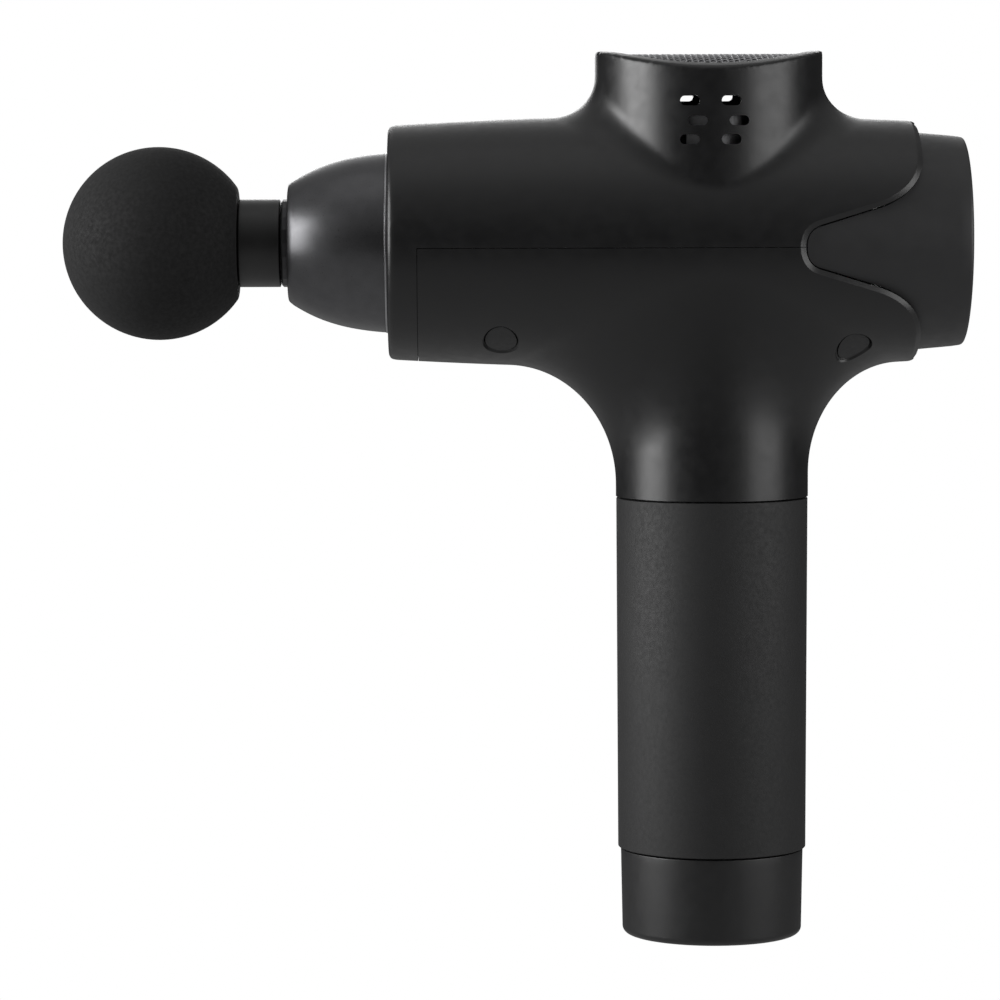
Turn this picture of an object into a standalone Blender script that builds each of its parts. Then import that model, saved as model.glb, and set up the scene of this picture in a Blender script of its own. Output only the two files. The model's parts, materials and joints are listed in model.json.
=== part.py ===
"""Percussion massage gun: ball head, plunger drive, vented motor tower and a battery handle.

Frame: origin at the centre of the base, +Z up the handle, -X towards the ball head, +X towards
the display. Lengths below are in millimetres and become metres in the helpers. Heights named
..._UP are measured from the barrel's axis, and all others from the base.
"""

import math

import bmesh
import bpy
from mathutils import Euler, Matrix, Vector

MM = 0.001
GAP = 0.3                                   # between two pieces that touch on the real object
WALL = 2.4                                  # moulded casing wall

# Base, grip and battery tube
BASE_HEIGHT, BASE_TOP_R, BASE_FOOT_R, BASE_EDGE = 22.0, 23.7, 23.3, 1.8
GRIP_BOTTOM, GRIP_TOP, GRIP_BOTTOM_R, GRIP_TOP_R = 22.8, 113.5, 24.4, 24.8
TUBE_BOTTOM, TUBE_TOP, SPIGOT_TOP = 22.9, 113.9, 131.9
TUBE_R, CELL_BAY_R, SPIGOT_R, SPIGOT_BORE_R = 22.1, 20.3, 21.8, 19.7
CELL_R, CELL_LENGTH, CELL_BOTTOM, CELL_CIRCLE = 9.2, 65.0, 36.0, 10.8

# Barrel
AXIS_Z = 180.0
BARREL_FRONT, BARREL_REAR = -83.6, 53.0
BARREL_R, CROWN_X, CROWN = 32.45, -8.0, 0.00041
FRONT_EDGE, REAR_EDGE = 1.3, 2.0
COLLAR_SEAM_X, PARTING_UP, NOSE_HOLE_R = -76.0, -1.3, 23.4

# Neck, below the barrel, and motor tower, above it
NECK_R, NECK_SEAM = 24.9, 114.3
NECK_FLARE_FRONT, NECK_RISE_FRONT = 28.4, 31.0
NECK_FLARE_REAR, NECK_RISE_REAR = 24.0, 28.5
NECK_FLARE_SIDE, NECK_RISE_SIDE = 6.3, 20.0
TOWER_X, TOWER_R, TOWER_CREST_UP, VAULT_R = -0.8, 29.3, 49.5, 97.0
TOWER_FLARE, TOWER_RISE = 11.5, 10.5
TOWER_FLARE_SIDE, TOWER_RISE_SIDE = 0.4, 0.8
TOWER_MOUTH_R, GRILLE_DROP, GRILLE_THICK = 26.2, 0.6, 0.9

# Vents: stadium slots in three rows of two, on both sides of the tower
VENT_LENGTH, VENT_WIDTH = 5.0, 2.5
VENT_ROWS_UP = (35.6, 30.6, 25.9)
VENT_COLUMNS, VENT_MIDDLE_SHIFT = (-7.2, 3.2), 2.0
FAR_SIDE_SHIFT, FAR_SIDE_RAISE = 1.4, 2.6

# Rear cover: one cone whose pointed wings run forward over both flanks
COVER_R, COVER_TAPER, COVER_END, COVER_WALL = 27.9, 0.0875, 64.7, 2.0
COVER_SPIGOT_X, LENS_R, LENS_STANDS_OUT = 50.0, 24.3, 0.2
WING_TIP_X, WING_NOSE, WING_FLANK, WING_SHOULDER = 21.2, (25.4, 5.6), (41.0, 10.7), (52.6, 24.0)

# Screws that clamp the two casings, each under a plug
SCREW_SPOTS = [(x, y * side) for x, y in ((-54.8, 18.9), (35.6, 17.0)) for side in (-1, 1)]
PLUG_R, PLUG_HOLE_R, SCREW_HOLE_R, SCREW_FLOOR_UP = 4.0, 4.3, 1.8, -17.5

# Ball head
BALL_R, BALL_X, BALL_FLAT_X = 25.0, -142.6, -122.3
STEM_COLLAR_R, SHANK_R, SOCKET_R, O_RINGS_X = 11.3, 7.1, 7.65, (-91.0, -104.0)
PLUNGER_FRONT, PLUNGER_REAR, PLUNGER_R, PLUNGER_TAIL_R = -111.1, -38.0, 11.3, 9.0

# Crank drive: the plunger rests at the middle of its stroke
CRANK_THROW, ROD_SPAN = 5.0, 45.0
WRIST_X = TOWER_X - ROD_SPAN
ROD_HALF, PIN_R = 3.2, 2.5

FINE, ROUND, SMALL = 32, 20, 12             # sides of large, middling and small turned pieces

PARTS = bpy.data.collections.new("massage_gun")
GUIDES = bpy.data.collections.new("cutters")


# ---------------------------------------------------------------- helpers

def clear_scene():
    for obj in list(bpy.data.objects):
        bpy.data.objects.remove(obj, do_unlink=True)
    for collection in (PARTS, GUIDES):
        bpy.context.scene.collection.children.link(collection)


def material(name, colour, roughness, metallic=0.0):
    made = bpy.data.materials.new(name)
    made.use_nodes = True
    shader = made.node_tree.nodes["Principled BSDF"]
    shader.inputs["Base Color"].default_value = (*colour, 1.0)
    shader.inputs["Roughness"].default_value = roughness
    shader.inputs["Metallic"].default_value = metallic
    return made


def place(name, mesh, at=(0, 0, 0), mat=None):
    """A part, or a hidden cutter where no material is given."""
    obj = bpy.data.objects.new(name, mesh)
    obj.location = Vector(at) * MM
    if mat:
        mesh.materials.append(mat)
        PARTS.objects.link(obj)
    else:
        obj.hide_render = True
        obj.display_type = "WIRE"
        GUIDES.objects.link(obj)
    return obj


def smooth(obj, angle=35):
    obj.data.shade_smooth()
    obj.data.set_sharp_from_angle(angle=math.radians(angle))


def turned(name, profile, mat=None, at=(0, 0, 0), along="Z", sides=ROUND):
    """Turns (radius, height) points about an axis. A profile that starts off the axis is a ring."""
    ring = profile[0][0] > 0
    mesh = bpy.data.meshes.new(name)
    edges = [(i, i + 1) for i in range(len(profile) - 1)]
    if ring:
        edges.append((len(profile) - 1, 0))
    mesh.from_pydata([(r * MM, 0, h * MM) for r, h in profile], edges, [])
    obj = place(name, mesh, at, mat)
    if along == "X":
        obj.rotation_euler = (0, math.radians(90), 0)
    screw = obj.modifiers.new("Turn", "SCREW")
    screw.steps = screw.render_steps = sides
    screw.use_merge_vertices = True
    screw.merge_threshold = 0.00001
    screw.use_smooth_shade = sides > SMALL
    return obj


def pin(name, radius, low, high, mat=None, at=(0, 0, 0), along="Z", sides=SMALL):
    profile = [(0, high), (radius, high), (radius, low), (0, low)]
    return turned(name, profile, mat, at, along, sides)


def ring(name, inner, outer, low, high, mat=None, at=(0, 0, 0), along="Z", sides=ROUND):
    profile = [(outer, high), (outer, low), (inner, low), (inner, high)]
    return turned(name, profile, mat, at, along, sides)


def box(name, low, high, mat=None, bevel=0.0):
    low, high = Vector(low), Vector(high)
    bm = bmesh.new()
    bmesh.ops.create_cube(bm, size=1.0, matrix=Matrix.Diagonal((*((high - low) * MM), 1.0)))
    mesh = bpy.data.meshes.new(name)
    bm.to_mesh(mesh)
    bm.free()
    obj = place(name, mesh, (low + high) / 2, mat)
    if bevel:
        rounded = obj.modifiers.new("Edges", "BEVEL")
        rounded.width = bevel * MM
        rounded.segments = 2
    return obj


def as_mesh(obj, mat=None):
    """The evaluated shape as a plain mesh object in the same place; the source is removed."""
    bpy.context.view_layer.update()
    graph = bpy.context.evaluated_depsgraph_get()
    mesh = bpy.data.meshes.new_from_object(obj.evaluated_get(graph))
    bm = bmesh.new()
    bm.from_mesh(mesh)
    bmesh.ops.remove_doubles(bm, verts=bm.verts, dist=0.000001)
    bm.to_mesh(mesh)
    bm.free()
    mesh.materials.clear()
    name, matrix = obj.name, obj.matrix_world.copy()
    bpy.data.objects.remove(obj, do_unlink=True)
    made = place(name, mesh, mat=mat)
    made.matrix_world = matrix
    return made


def plate(name, outline, low, high, mat=None, at=(0, 0, 0), turn=(0, 0, 0)):
    """A flat plate between two heights over its own XY plane, which is turned and then moved."""
    curve = bpy.data.curves.new(name, "CURVE")
    curve.dimensions = "2D"
    curve.fill_mode = "BOTH"
    curve.extrude = (high - low) / 2 * MM
    spline = curve.splines.new("POLY")
    spline.points.add(len(outline) - 1)
    spline.use_cyclic_u = True
    for point, (x, y) in zip(spline.points, outline):
        point.co = (x * MM, y * MM, 0, 1)
    obj = place(name, curve)
    turned_by = Euler([math.radians(angle) for angle in turn])
    middle = Vector((0, 0, (low + high) / 2))
    middle.rotate(turned_by)
    obj.rotation_euler = turned_by
    obj.location = (Vector(at) + middle) * MM
    return as_mesh(obj, mat)


def tube(name, points, radius, mat):
    """A round lead through points, bent smoothly."""
    curve = bpy.data.curves.new(name, "CURVE")
    curve.dimensions = "3D"
    curve.bevel_depth = radius * MM
    curve.bevel_resolution = 2
    curve.use_fill_caps = True
    spline = curve.splines.new("POLY")
    route = spread(points)
    spline.points.add(len(route) - 1)
    for point, along in zip(spline.points, route):
        point.co = (*(along * MM), 1)
    curve.materials.append(mat)
    obj = bpy.data.objects.new(name, curve)
    PARTS.objects.link(obj)
    return obj


def spread(points, steps=2):
    """Points along a Catmull-Rom curve through the given ones."""
    given = [Vector(p) for p in points]
    ends = [2 * given[0] - given[1]] + given + [2 * given[-1] - given[-2]]
    route = []
    for a, b, c, d in zip(ends, ends[1:], ends[2:], ends[3:]):
        for step in range(steps):
            t = step / steps
            route.append(
                0.5 * (2 * b + (c - a) * t + (2 * a - 5 * b + 4 * c - d) * t * t
                       + (3 * b - a - 3 * c + d) * t ** 3)
            )
    return route + [given[-1]]


def combine(obj, other, how):
    """EXACT leaves open edges where fillets nearly touch bosses and where rails share a face."""
    step = obj.modifiers.new(how.title(), "BOOLEAN")
    step.operation = how
    step.solver = "MANIFOLD" if "casing" in obj.name or obj.name == "drive_frame" else "EXACT"
    step.object = other


def cut(obj, *cutters):
    for cutter in cutters:
        combine(obj, cutter, "DIFFERENCE")


def join(obj, *others):
    for other in others:
        combine(obj, other, "UNION")


def keep(obj, zone):
    combine(obj, zone, "INTERSECT")


def arc(centre, radius, start, end, steps):
    """Points on an arc, angles in degrees, both ends included."""
    turns = [math.radians(start + (end - start) * i / steps) for i in range(steps + 1)]
    return [(centre[0] + radius * math.cos(t), centre[1] + radius * math.sin(t)) for t in turns]


def stadium(length, width, steps=4):
    half = (length - width) / 2
    return arc((half, 0), width / 2, -90, 90, steps) + arc((-half, 0), width / 2, 90, 270, steps)


def bezier(a, b, c, d, steps):
    """Points on a flat cubic curve, without its last one."""
    found = []
    for i in range(steps):
        t = i / steps
        weights = ((1 - t) ** 3, 3 * t * (1 - t) ** 2, 3 * t * t * (1 - t), t ** 3)
        found.append(tuple(sum(w * p[k] for w, p in zip(weights, (a, b, c, d))) for k in (0, 1)))
    return found


# ---------------------------------------------------------------- casing shape

def barrel_radius(x):
    return BARREL_R - CROWN * (x - CROWN_X) ** 2


def barrel(name, inset, front, rear, front_edge, rear_edge, sides):
    """The crowned barrel as a solid, its radius smaller by inset."""
    reach = rear - rear_edge - front - front_edge
    stations = [rear - rear_edge - reach * i / 7 for i in range(8)]
    profile = [(0, rear)]
    if rear_edge:
        profile += [
            (barrel_radius(rear) - inset - rear_edge + r, rear - rear_edge + h)
            for r, h in arc((0, 0), rear_edge, 90, 30, 2)
        ]
    else:
        profile += [(barrel_radius(rear) - inset, rear)]
        stations = stations[1:]
    profile += [(barrel_radius(x) - inset, x) for x in stations]
    if front_edge:
        profile += [
            (barrel_radius(front) - inset - front_edge + r, front + front_edge + h)
            for r, h in arc((0, 0), front_edge, -30, -90, 2)
        ]
    profile.append((0, front))
    return turned(name, profile, at=(0, 0, AXIS_Z), along="X", sides=sides)


def column(name, up, centre_x, radius, flares, rises, side_flare, side_rise, inset, end_up, sides):
    """A round column that leaves the barrel on an elliptical fillet, up (1) or down (-1).

    flares and rises hold the fillet's (front, rear) length along the barrel and height. The
    fillet's edge is sunk a little into the barrel, so that a union joins them."""
    bm = bmesh.new()
    rings = []
    fillet_steps, sunk, root_up = 6, 0.4, 6
    for index in range(sides):
        angle = 2 * math.pi * (index + 0.5) / sides
        cos, sin = math.cos(angle), math.sin(angle)
        end = 0 if cos < 0 else 1
        lean = cos * cos
        wall = Vector((centre_x + (radius - inset) * cos, (radius - inset) * sin, 0))
        outer = Vector((
            centre_x + (radius - inset + flares[end]) * cos,
            (radius - inset + side_flare) * sin,
            0,
        ))
        skin = barrel_radius(outer.x) - inset
        outer.z = up * math.sqrt(skin ** 2 - outer.y ** 2)
        corner = wall.copy()
        corner.z = outer.z - outer.y / outer.z * (wall.y - outer.y)
        top = corner.copy()
        top.z += up * (side_rise + (rises[end] - side_rise) * lean)
        points = [Vector((centre_x + 0.5 * (wall.x - centre_x), 0.5 * wall.y, up * root_up))]
        for step in range(fillet_steps + 1):
            turn = math.pi / 2 * step / fillet_steps
            point = corner + (outer - corner) * (1 - math.sin(turn))
            point += (top - corner) * (1 - math.cos(turn))
            if step == 0:
                shrink = 1 - sunk / skin
                point.y *= shrink
                point.z *= shrink
            points.append(point)
        points.append(Vector((wall.x, wall.y, end_up)))
        rings.append([bm.verts.new((p + Vector((0, 0, AXIS_Z))) * MM) for p in points])
    for a, b in zip(rings, rings[1:] + rings[:1]):
        for i in range(len(a) - 1):
            bm.faces.new((a[i], b[i], b[i + 1], a[i + 1]))
    bm.faces.new([line[0] for line in rings])
    bm.faces.new([line[-1] for line in rings])
    bmesh.ops.recalc_face_normals(bm, faces=bm.faces)
    mesh = bpy.data.meshes.new(name)
    bm.to_mesh(mesh)
    bm.free()
    obj = place(name, mesh)
    smooth(obj)
    return obj


def neck(name, inset, end_up, sides):
    return column(
        name, -1, 0, NECK_R,
        (NECK_FLARE_FRONT, NECK_FLARE_REAR), (NECK_RISE_FRONT, NECK_RISE_REAR),
        NECK_FLARE_SIDE, NECK_RISE_SIDE, inset, end_up, sides,
    )


def tower(name, inset, end_up, sides):
    return column(
        name, 1, TOWER_X, TOWER_R, (TOWER_FLARE, TOWER_FLARE), (TOWER_RISE, TOWER_RISE),
        TOWER_FLARE_SIDE, TOWER_RISE_SIDE, inset, end_up, sides,
    )


def vault(name, drop):
    """A cylinder along the barrel whose crest is the tower's arched top, lowered by drop."""
    return pin(
        name, VAULT_R - drop, -40, 40, along="X", sides=120,
        at=(TOWER_X, 0, AXIS_Z + TOWER_CREST_UP - VAULT_R),
    )


def wing_outline(gap):
    """The rear cover's outline seen from the side, about the parting line, smaller by gap."""
    tip, nose, flank, shoulder = WING_TIP_X + gap, WING_NOSE, WING_FLANK, WING_SHOULDER
    slope = (flank[1] - nose[1]) / (flank[0] - nose[0])
    nose_pull, flank_pull, shoulder_pull = 2.4, 6.5, 8.0
    upper = bezier(
        (tip, 0), (tip, 2.8),
        (nose[0] - nose_pull, nose[1] - nose_pull * slope - gap), (nose[0], nose[1] - gap), 5,
    )
    upper += bezier(
        (flank[0], flank[1] - gap), (flank[0] + flank_pull, flank[1] + flank_pull * slope - gap),
        (shoulder[0] + gap, shoulder[1] - shoulder_pull), (shoulder[0] + gap, shoulder[1]), 7,
    )
    upper += [(shoulder[0] + gap, 40.0), (72.0, 40.0)]
    return upper + [(x, -y) for x, y in reversed(upper[1:])]


def wing_prism(name, gap):
    return plate(
        name, wing_outline(gap), -45, 45, at=(0, 0, AXIS_Z + PARTING_UP), turn=(90, 0, 0)
    )


def vents():
    """Six slots a side, cut from inside the tower outwards."""
    cutters = []
    for side, moved, raised in ((-1, 0.0, 0.0), (1, FAR_SIDE_SHIFT, FAR_SIDE_RAISE)):
        for row, height in enumerate(VENT_ROWS_UP):
            for x in VENT_COLUMNS:
                shift = moved + (VENT_MIDDLE_SHIFT if row == 1 else 0.0)
                cutters.append(plate(
                    "vent_cutter", stadium(VENT_LENGTH, VENT_WIDTH), -6, 6,
                    at=(x + shift, side * 28.0, AXIS_Z + height + raised), turn=(90, 0, 0),
                ))
    return cutters


def casing_shell():
    """The closed outer form of both casings, hollowed. The two casings are cut from it."""
    body = barrel("casing_outer", 0, BARREL_FRONT, BARREL_REAR, FRONT_EDGE, REAR_EDGE, 40)
    top = tower("tower_outer", 0, TOWER_CREST_UP + 4, 40)
    keep(top, vault("vault_outer", 0))
    join(body, top, neck("neck_outer", 0, NECK_SEAM - AXIS_Z, 40))
    room = barrel("casing_inner", WALL, BARREL_FRONT + WALL + 0.1, BARREL_REAR + 5, 0, 0, 24)
    join(
        room,
        neck("neck_inner", WALL, NECK_SEAM - AXIS_Z - 5, 24),
        tower("tower_inner", WALL, 41.5, 24),
        pin("tower_mouth", TOWER_MOUTH_R, 30, 60, at=(TOWER_X, 0, AXIS_Z), sides=FINE),
        pin("nose_opening", NOSE_HOLE_R, -90, -70, at=(0, 0, AXIS_Z), along="X", sides=FINE),
        wing_prism("wing_cutter", 0),
    )
    cut(body, room)
    return as_mesh(body)


def casings(black):
    """Both casings, with their screw bosses; the upper one has the collar and the vents."""
    shell = casing_shell()
    upper = place("upper_casing", shell.data.copy(), mat=black)
    lower = place("lower_casing", shell.data.copy(), mat=black)
    for half in (upper, lower):
        half.matrix_world = shell.matrix_world
    parting, barrel_top = AXIS_Z + PARTING_UP, AXIS_Z + 60
    above = box("upper_zone", (-95, -45, parting + GAP / 2), (75, 45, barrel_top))
    collar_low, collar_high = (-96, -46, AXIS_Z - 50), (COLLAR_SEAM_X - GAP / 2, 46, AXIS_Z + 50)
    join(above, box("collar_zone", collar_low, collar_high))
    keep(upper, above)
    below = ((COLLAR_SEAM_X + GAP / 2, -45, NECK_SEAM - 10), (75, 45, parting - GAP / 2))
    keep(lower, box("lower_zone", *below))
    for x, y in SCREW_SPOTS:
        at = (x, y, AXIS_Z)
        join(upper, pin("upper_boss", 3.5, PARTING_UP + 0.4, 22.0, at=at))
        cut(upper, pin("upper_screw_hole", SCREW_HOLE_R, PARTING_UP - 2, 16.5, at=at))
        top = PARTING_UP - 0.4
        boss = [(0, top), (3.8, top), (3.8, -14.5), (5.8, -15.5), (5.8, -31.0), (0, -31.0)]
        hole = [(0, 5), (SCREW_HOLE_R, 5), (SCREW_HOLE_R, SCREW_FLOOR_UP),
                (PLUG_HOLE_R, SCREW_FLOOR_UP), (PLUG_HOLE_R, -45), (0, -45)]
        boss = turned("lower_boss", boss, at=at, sides=SMALL)
        keep(boss, barrel("boss_trim", 0.6, BARREL_FRONT + 4, BARREL_REAR - 4, 0, 0, 64))
        join(lower, boss)
        cut(lower, turned("plug_and_screw_hole", hole, at=at, sides=SMALL))
    cut(upper, *vents())


def fasteners(plug_mat, steel):
    skin = barrel("plug_skin", 0.3, BARREL_FRONT + 4, BARREL_REAR - 4, 0, 0, 64)
    seat = SCREW_FLOOR_UP - GAP
    screw = [(0, 15), (1.5, 13.5), (1.5, seat), (2.9, seat), (2.9, seat - 1.7), (0, seat - 1.7)]
    for number, (x, y) in enumerate(SCREW_SPOTS, 1):
        at = (x, y, AXIS_Z)
        keep(pin(f"screw_plug_{number}", PLUG_R, -36, seat - 2.1, plug_mat, at), skin)
        turned(f"casing_screw_{number}", screw, steel, at, sides=12)


# ---------------------------------------------------------------- rear, grille and nozzle

def rear_end(black, glass, board):
    def cone(x):
        return COVER_R + COVER_TAPER * (BARREL_REAR + 0.5 - x)

    at = (0, 0, AXIS_Z)
    end, forward = COVER_END, WING_TIP_X - 3
    lens_floor, ledge = end - 2.9, end - 5.0
    outside = [(LENS_R + GAP, end), (cone(end) - 1.0, end), (cone(end) - 0.1, end - 0.7)]
    outside += [(cone(x), x) for x in (60, 50, 40, 30, forward)]
    inside = [(cone(x) - COVER_WALL, x) for x in (forward, 40, 57)]
    inside += [(LENS_R - 1.6, ledge), (LENS_R - 1.6, lens_floor), (LENS_R + GAP, lens_floor)]
    cover = turned("rear_cover", outside + inside, black, at, "X", 40)
    zone = wing_prism("wing_zone", 0.4)
    join(zone, box("cover_zone", (COVER_SPIGOT_X, -44, AXIS_Z - 39), (71, 44, AXIS_Z + 39)))
    keep(cover, zone)

    face, back = end + LENS_STANDS_OUT, lens_floor + GAP
    lens = [(0, face), (LENS_R - 0.6, face), (LENS_R, face - 0.5), (LENS_R, back), (0, back)]
    turned("display_lens", lens, glass, at, "X", FINE)
    pin("display_module", 21.5, ledge - 4.0, ledge - 1.0, board, at, "X", ROUND)
    box("controller_board", (43, -18, AXIS_Z - 17), (44.6, 18, AXIS_Z + 17), board)


def grille(steel, black):
    at = (TOWER_X, 0, AXIS_Z)
    mesh_disc = pin("top_grille", TOWER_MOUTH_R - GAP, 36, 58, steel, at, sides=FINE)
    keep(mesh_disc, vault("grille_top", GRILLE_DROP))
    cut(mesh_disc, vault("grille_bottom", GRILLE_DROP + GRILLE_THICK))
    ring("grille_frame", 23.4, TOWER_R - WALL - GAP, 39.6, 41.2, black, at)


def nozzle(metal, rubber, polymer, cast, damp):
    """The bell in front of the casing, and the guide that the plunger slides in."""
    at = (0, 0, AXIS_Z)
    flange = [(26.5, -78.7), (26.5, -80.7), (23.1, -80.7)]
    outside = [(23.1, -84.9), (22.8, -88.0), (22.4, -91.1), (21.8, -94.2), (21.0, -97.3),
               (20.0, -100.5), (18.6, -103.6), (16.9, -106.8), (15.7, -108.6), (14.6, -109.4)]
    inside = [(11.8, -109.4), (11.8, -106.1), (14.9, -106.1), (17.6, -100.5), (20.6, -88.0),
              (20.8, -78.7)]
    turned("nozzle_bell", flange + outside + inside, metal, at, "X", FINE)
    ring("front_seal", 11.6, 14.6, -105.6, -104.3, rubber, at, "X")
    ring("guide_bushing", 11.6, 14.0, -104.0, -62.0, polymer, at, "X")
    frame = ring("drive_frame", 14.3, 19.0, -76.0, -61.0, cast, at, "X")
    join(frame, ring("frame_flange", 16.0, 27.0, -65.6, -61.2, at=at, along="X"))
    for side in (-1, 1):
        near, far = sorted((side * 23.4, side * 26.4))
        join(
            frame,
            box("frame_rail", (-64, near, AXIS_Z - 5), (26, far, AXIS_Z + 5)),
            box("frame_post", (-22, near, AXIS_Z - 4), (20, far, AXIS_Z + 11.2)),
        )
    ring("front_damper", 19.3, 27.0, -73.0, -67.0, damp, at, "X")


# ---------------------------------------------------------------- motor, crank and plunger

def motor(cast, steel, can, copper, magnet, black):
    at = (TOWER_X, 0, AXIS_Z)
    ring("motor_mount", 8.0, 25.6, 11.5, 14.5, cast, at)
    ring("motor_bearing_lower", 2.8, 7.7, 11.5, 14.5, steel, at, sides=SMALL)
    ring("motor_bearing_upper", 2.8, 5.2, 24.0, 28.0, steel, at, sides=SMALL)
    ring("stator_core", 5.5, 19.0, 18.0, 28.0, steel, at)
    ring("winding_lower", 9.0, 18.0, 15.3, 17.7, copper, at)
    ring("winding_upper", 9.0, 18.0, 28.3, 30.6, copper, at)
    ring("magnet_ring", 19.3, 20.3, 17.0, 29.0, magnet, at)
    cup = [(22.5, 15.2), (20.6, 15.2), (20.6, 31.0), (2.8, 31.0), (2.8, 33.0), (21.9, 33.0),
           (22.5, 32.4)]
    turned("rotor_can", cup, can, at)
    pin("motor_shaft", PIN_R, 5.6, 44.0, steel, at)
    fan = ring("cooling_fan", 2.8, 6.5, 40.3, 44.0, black, at)
    blades, blade_pitch, blade_at = 7, math.radians(22), Vector((12.5, 0, 42.15))
    for blade in range(blades):
        wing = box("fan_blade", (-7.5, -3.6, -0.45), (7.5, 3.6, 0.45))
        wing.matrix_world = (
            Matrix.Translation(Vector(at) * MM)
            @ Matrix.Rotation(2 * math.pi * blade / blades, 4, "Z")
            @ Matrix.Translation(blade_at * MM)
            @ Matrix.Rotation(blade_pitch, 4, "X")
        )
        join(fan, wing)
    throw_at = (TOWER_X, CRANK_THROW, AXIS_Z)
    outline = arc((0, 0), 14.0, 180, 360, 14) + arc((0, 0), 9.0, 0, 180, 12)
    disc = plate("crank_disc", outline, 5.6, 10.8, cast, at)
    cut(disc, pin("shaft_hole", 2.8, 3, 13, at=at), pin("crank_pin_hole", 2.8, 3, 9.2, at=throw_at))
    pin("crank_pin", PIN_R, -4.4, 8.8, steel, throw_at)


def rod_and_plunger(steel, alloy):
    at = (TOWER_X, CRANK_THROW, AXIS_Z)
    ring("rod_bearing", 2.8, 6.4, -ROD_HALF, ROD_HALF, steel, at, sides=20)
    rod = ring("connecting_rod", 6.7, 9.6, -ROD_HALF, ROD_HALF, alloy, at)
    end = (WRIST_X, 0, AXIS_Z)
    lean = math.degrees(math.atan2(-CRANK_THROW, -ROD_SPAN))
    bar = [(8.0, -4.0), (ROD_SPAN - 4.0, -3.2), (ROD_SPAN - 4.0, 3.2), (8.0, 4.0)]
    join(rod, plate("rod_bar", bar, -ROD_HALF + 0.4, ROD_HALF - 0.4, at=at, turn=(0, 0, lean)))
    eye = [(-y, x + CRANK_THROW / 2) for x, y in stadium(15.8, 12.8)]
    slot = [(-y, x + CRANK_THROW / 2) for x, y in stadium(12.6, 7.8)]
    join(rod, plate("rod_eye", eye, -ROD_HALF, ROD_HALF, at=end))
    cut(rod, plate("rod_eye_slot", slot, -6, 6, at=end))
    cut(rod, pin("rod_bearing_seat", 6.7, -6, 6, at=at, sides=ROUND))

    nose, shoulder, floor = PLUNGER_FRONT, -60.0, -81.0
    profile = [(0, PLUNGER_REAR), (PLUNGER_TAIL_R, PLUNGER_REAR), (PLUNGER_TAIL_R, shoulder + 2),
               (PLUNGER_R, shoulder - 1), (PLUNGER_R, nose + 0.5), (PLUNGER_R - 0.5, nose),
               (SOCKET_R, nose), (SOCKET_R, floor), (0, floor)]
    plunger = turned("plunger", profile, steel, (0, 0, AXIS_Z), "X")
    cut(plunger, box("fork_slot", (-56.5, -20, AXIS_Z - 4), (-30, 20, AXIS_Z + 4)))
    cut(plunger, pin("wrist_hole", 2.8, -20, 20, at=end))
    pin("wrist_pin", PIN_R, -8.2, 8.2, steel, end)


def ball_head(foam, stem_mat, rubber):
    at = (0, 0, AXIS_Z)
    face = math.acos((BALL_FLAT_X - BALL_X) / BALL_R)
    sweep = [face + (math.pi - face) * i / 12 for i in range(12)]
    skin = [(BALL_R * math.sin(t), BALL_X + BALL_R * math.cos(t)) for t in sweep]
    hole = [(0, -139.8), (8.3, -139.8), (8.3, BALL_FLAT_X)]
    turned("head_ball", hole + skin + [(0, BALL_X - BALL_R)], foam, at, "X", FINE)

    grooves, groove_r, groove_half = [], 5.9, 0.9
    for x in O_RINGS_X:
        rear, front = x + groove_half, x - groove_half
        grooves += [(SHANK_R, rear), (groove_r, rear), (groove_r, front), (SHANK_R, front)]
    collar, stop = PLUNGER_FRONT - GAP, BALL_FLAT_X + GAP
    shank = [(0, -86), (6.0, -86), (SHANK_R, -87.2)] + grooves + [(SHANK_R, collar)]
    flange = [(STEM_COLLAR_R - 0.4, collar), (STEM_COLLAR_R, collar - 0.4), (STEM_COLLAR_R, stop)]
    turned("head_stem", shank + flange + [(8.0, stop), (8.0, -139.4), (0, -139.4)], stem_mat, at, "X")
    bead_r = 0.56
    for name, x in zip(("o_ring_rear", "o_ring_front"), O_RINGS_X):
        turns = [math.radians(90 - 60 * i) for i in range(6)]
        bead = [(6.78 + bead_r * math.cos(t), x + bead_r * math.sin(t)) for t in turns]
        turned(name, bead, rubber, at, "X", SMALL)


# ---------------------------------------------------------------- neck, battery handle and base

def neck_fittings(black, red):
    bulkhead = SPIGOT_TOP + 9.3
    pin("neck_bulkhead", 21.6, bulkhead, bulkhead + 2.5, black, sides=ROUND)
    socket = box("battery_socket", (-10, -7, bulkhead - 7.5), (10, 7, bulkhead - GAP), black)
    cut(socket, box("socket_recess", (-7.8, -4.8, bulkhead - 19), (7.8, 4.8, bulkhead - 1.7)))
    power_route = [(0, 9, -35.7), (1, 10, -31), (8, 9, -25), (19, 7, -23), (28, 4, -18),
                   (35, 3, -11), (39.5, 3, -6), (42.4, 3, -5)]
    motor_route = [(16, 3, 11.0), (18, 4, 2), (26, 6, -1), (34, 8, 3), (38.5, 8.5, 5), (42.4, 9, 5.4)]
    for name, route in (("power_lead", power_route), ("motor_lead", motor_route)):
        tube(name, [(x, y, AXIS_Z + up) for x, y, up in route], 1.1, red)


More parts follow.
